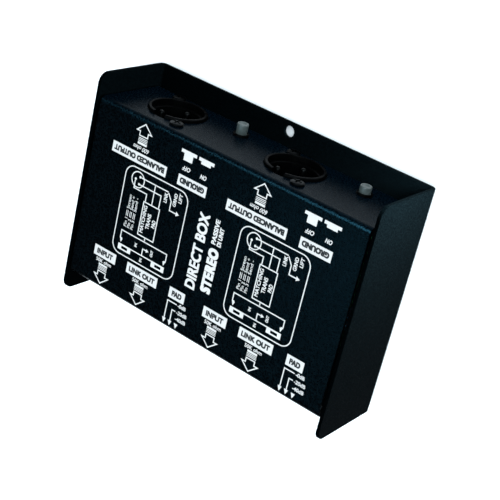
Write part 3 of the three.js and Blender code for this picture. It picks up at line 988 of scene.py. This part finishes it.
def print_xlr_end(ink):
    """Arrow, impedance, button pictures and label plates."""
    connector_arrow(ink, -10.7, 27.9, 1)
    ink.words("600 ohm", -14.8, -6.8, 25.4, 27.2, 180, bold=0.03, slant=0.3)
    ink.box(-24.85, 3.25, *XLR_PLATES)
    ink.box(9.25, 23.35, *XLR_PLATES)
    button_picture(ink, 8.35, 15.85, 9.9, 14.2, 30.4)
    button_picture(ink, 16.95, 24.35, 18.3, 22.9, 32.1)
    ink.words("OFF", 10.2, 14.1, 26.5, 28.3, 180, slant=0.2)
    ink.words("ON", 19.1, 22.1, 26.5, 28.3, 180, slant=0.2)


def print_socket_symbol(ink):
    """The diagram's rounded frame and its XLR socket, wired to the transformer."""
    ink.line(*rounded_box(-15.9, 16.2, -19.4, 18.4, 4.2), closed=True)
    ink.ring(-9.3, 13.9, 3.2)
    for x, y in ((-8.4, 15.3), (-10.5, 13.9), (-8.4, 12.3)):
        ink.disc(x, y, 0.5)
    ink.line((-7.8, 15.3), (6.3, 15.3))
    ink.line((-7.8, 12.3), (3.2, 12.3), (3.2, 6.9))
    ink.line((-0.4, 15.0), (-0.4, 12.6))
    ink.line((-0.4, 12.0), (-0.4, 6.9))
    ink.line((-10.6, 13.3), (-10.6, 10.0), (-3.8, 10.0), (-3.8, 6.9))


def print_circuit(ink):
    """The diagram's transformer box, jack symbols and ground switch."""
    ink.line((-4.4, -7.5), (-4.4, 6.6), (3.8, 6.6), (3.8, -7.5), closed=True)
    ink.line((-0.4, -7.8), (-0.4, -9.0))
    ink.line((-11.6, -12.6), (-12.5, -12.6), (-12.5, -9.3), (11.6, -9.3), (11.6, -12.6), (10.7, -12.6))
    arrowhead(ink, -11.9, -14.5, 0, -1, 1.7, 0.7)
    arrowhead(ink, 10.9, -14.5, 0, -1, 1.7, 0.7)
    for left, right, inner_left, inner_right in ((-12.9, -6.2, -11.1, -7.9), (4.9, 11.6, 6.8, 10.0)):
        outer = [(left, -17.6), (right, -17.6), (right, -15.1), (left, -15.1)]
        inner = [(inner_left, -17.0), (inner_right, -17.0), (inner_right, -15.8), (inner_left, -15.8)]
        ink.band(inner, outer, True)
    ink.line((-6.2, -15.35), (4.9, -15.35))
    ink.line((-0.4, -15.1), (-0.4, -12.4), (1.3, -12.4))
    arrowhead(ink, 2.7, -12.4, 1, 0, 1.4, 0.8)
    ink.line((6.5, 15.0), (8.4, 12.2), (8.4, 8.4), (11.7, 8.4))
    arrowhead(ink, 13.3, 8.4, 1, 0, 1.6, 1.0)


def print_diagram_words(ink):
    """The diagram's lettering and its list of contacts."""
    ink.words("LINK", 4.7, 6.3, 10.6, 14.6, 90)
    ink.words("GRND", 9.3, 10.9, 10.8, 16.2, 90)
    ink.words("LIFT", 11.7, 13.3, 13.2, 17.0, 90)
    ink.words("MATCHING", -3.9, -2.2, -6.2, 5.4, 90)
    ink.words("TRANS", -1.3, 0.5, -3.7, 2.9, 90)
    ink.words("PAD", 1.4, 3.2, -2.0, 1.2, 90)
    ink.words("IN", -4.8, -3.6, -13.2, -11.6, 90)
    ink.words("OUT", 3.6, 4.9, -13.8, -11.0, 90)
    ink.words("IN", -1.1, 0.2, -18.2, -16.6, 90)
    half_bar = 0.13
    contacts = ((-11.4, "Pin 1", "Screen"), (-9.6, "Pin 2", "Send +"), (-7.8, "Pin 3", "Send -"))
    for column, pin, use in contacts:
        ink.words(pin, column - 0.75, column + 0.65, -7.2, -3.4, 90, bold=0.015)
        ink.words(use, column - 0.75, column + 0.65, 0.6, 6.6, 90, bold=0.015)
        for bar in (column - 0.4, column + 0.3):
            ink.box(bar - half_bar, bar + half_bar, -2.7, -0.2)


def print_jack_end(ink):
    """Label plates, impedances, arrows and the attenuator's steps."""
    for left, right in ((-24.35, -12.65), (-6.45, 9.75), (16.35, 24.25)):
        ink.box(left, right, *JACK_PLATES)
    for middle in (-18.5, 1.6):
        connector_arrow(ink, middle, -28.0, -1)
        ink.words("50K ohm", middle - 4.1, middle + 4.1, -27.6, -26.0, bold=0.03)
    steps = ((16.6, -26.9, "-0dB", 25.9), (19.6, -29.9, "-20dB", 27.1), (22.8, -32.7, "-40dB", 27.1))
    start, end = 21.3, -34.8
    for column, level, text, text_end in steps:
        if column < start:
            ink.line((start, level), (column, level), (column, end))
        arrowhead(ink, column, -36.9, 0, -1, 2.1, 0.95)
        ink.words(text, 21.9, text_end, level - 0.8, level + 0.8, bold=0.05)


def print_labels(ink):
    """Dark lettering over the white label plates."""
    for text, x0, x1 in (("BALANCED OUTPUT", -23.8, 2.2), ("GROUND", 10.2, 22.3)):
        ink.words(text, x0, x1, *XLR_LABELS, 180, bold=0.18)
    for text, x0, x1 in (("INPUT", -22.8, -14.2), ("LINK OUT", -5.2, 8.5), ("PAD", 17.8, 22.8)):
        ink.words(text, x0, x1, *JACK_LABELS, bold=0.17)


def print_channel(c):
    """One channel's printing, drawn in a frame centred on the channel: white ink, then dark ink on top."""
    white = Print(CHANNEL_X[c])
    print_xlr_end(white)
    print_socket_symbol(white)
    print_circuit(white)
    print_diagram_words(white)
    print_jack_end(white)
    white.done(f"print_channel_{c}")
    dark = Print(CHANNEL_X[c], layer=1)
    print_labels(dark)
    dark.done(f"print_labels_{c}", BLACK_INK)


def print_centre():
    """The generic title between the channels."""
    title = Print()
    title.words("DIRECT BOX", -6.4, -1.4, -17.4, 14.6, 90, bold=0.2)
    title.words("STEREO", 1.1, 6.0, -15.8, 3.0, 90, bold=0.34, spacing=1.12)
    title.words("PASSIVE", 1.4, 3.5, 4.6, 14.8, 90, bold=0.1)
    title.words("DI UNIT", 4.1, 6.1, 4.6, 12.4, 90, bold=0.1)
    title.done("print_centre")


for channel in CHANNELS:
    print_channel(channel)
print_centre()

# ------------------------------------------------------------------------------- floor, light, camera

COOL_LIGHT = (0.76, 0.92, 1.0)
BLUE_LIGHT = (0.5, 0.85, 1.0)
DEEP_BLUE_LIGHT = (0.12, 0.6, 0.95)
WARM_LIGHT = (1.0, 0.95, 0.92)


def lamp(name, position, width, power, colour=COOL_LIGHT, only=None, diffuse=True, glossy=True):
    """Square soft lamp, in metres and watts, turned to the origin.

    `only` is the one piece that it lights. `diffuse` and `glossy` say what kind of light it makes.
    """
    light = bpy.data.lights.new(name, "AREA")
    light.shape = "SQUARE"
    light.size = width
    light.energy = power
    light.color = colour
    holder = bpy.data.objects.new(name, light)
    bpy.context.scene.collection.objects.link(holder)
    holder.location = position
    holder.rotation_euler = (-Vector(position)).to_track_quat("-Z", "Y").to_euler()
    holder.visible_diffuse = diffuse
    holder.visible_glossy = glossy
    if only:
        lit = bpy.data.collections.new(name + "_lights")
        lit.objects.link(only)
        holder.light_linking.receiver_collection = lit


def studio():
    """Pale floor and soft lamps."""
    reach, thick = 4000.0, 20.0
    ground = thing("studio_floor", cuboid((-reach, -reach, -thick), (reach, reach, 0)))
    ground.data.materials.append(pale_floor().material)
    world = bpy.data.worlds.new("studio_world")
    bpy.context.scene.world = world
    world.use_nodes = True
    background = world.node_tree.nodes["Background"]
    background.inputs["Color"].default_value = (0.78, 0.93, 1.0, 1)
    background.inputs["Strength"].default_value = 0.35
    lamp("left_softbox", (-0.85, 0.75, 1.2), 1.0, 8.0, glossy=False)
    lamp("right_softbox", (0.9, 0.7, 1.2), 0.8, 31.0)
    lamp("front_softbox", (0.5, -0.9, 1.2), 0.8, 30.0)
    lamp("overhead_softbox", (0.2, 0.0, 1.6), 1.0, 12.0)
    # The glow on the cover and the right-hand wall is too local for lamps that light everything.
    lamp("sheen_lamp", (-0.4, -0.4, 1.3), 0.25, 8.5, BLUE_LIGHT, only=COVER, diffuse=False)
    lamp("edge_lamp", (-0.27, 0.85, 1.3), 0.8, 270.0, BLUE_LIGHT, only=COVER, diffuse=False)
    lamp("panel_lamp", (0.05, 0.35, 0.06), 0.1, 7.0, DEEP_BLUE_LIGHT, only=COVER, glossy=False)
    lamp("wall_lamp", (0.11, 0.075, 0.03), 0.03, 2.4, WARM_LIGHT, only=SHELL)
    bpy.context.scene.view_settings.view_transform = "Standard"


def camera():
    """Looks down on the XLR end from +X +Y, turned so that the box stands across the frame."""
    target = at(6.5, -0.9, 20.0) * MM
    distance = 486.5 * MM
    azimuth, elevation, roll = math.radians(130.74), math.radians(50.67), math.radians(109.955)
    flat = math.cos(elevation)
    away = Vector((flat * math.sin(azimuth), -flat * math.cos(azimuth), math.sin(elevation)))
    level = (Vector((0, 0, 1)) - away * away.z).normalized()
    up = level * math.cos(roll) + (-away).cross(level) * math.sin(roll)
    lens = bpy.data.cameras.new("photo_camera")
    lens.sensor_width = 36
    lens.lens = 90.14
    lens.clip_start = 0.01
    holder = bpy.data.objects.new("photo_camera", lens)
    bpy.context.scene.collection.objects.link(holder)
    basis = Matrix((up.cross(away), up, away)).transposed().to_4x4()
    holder.matrix_world = Matrix.Translation(target + away * distance) @ basis
    bpy.context.scene.camera = holder


studio()
camera()
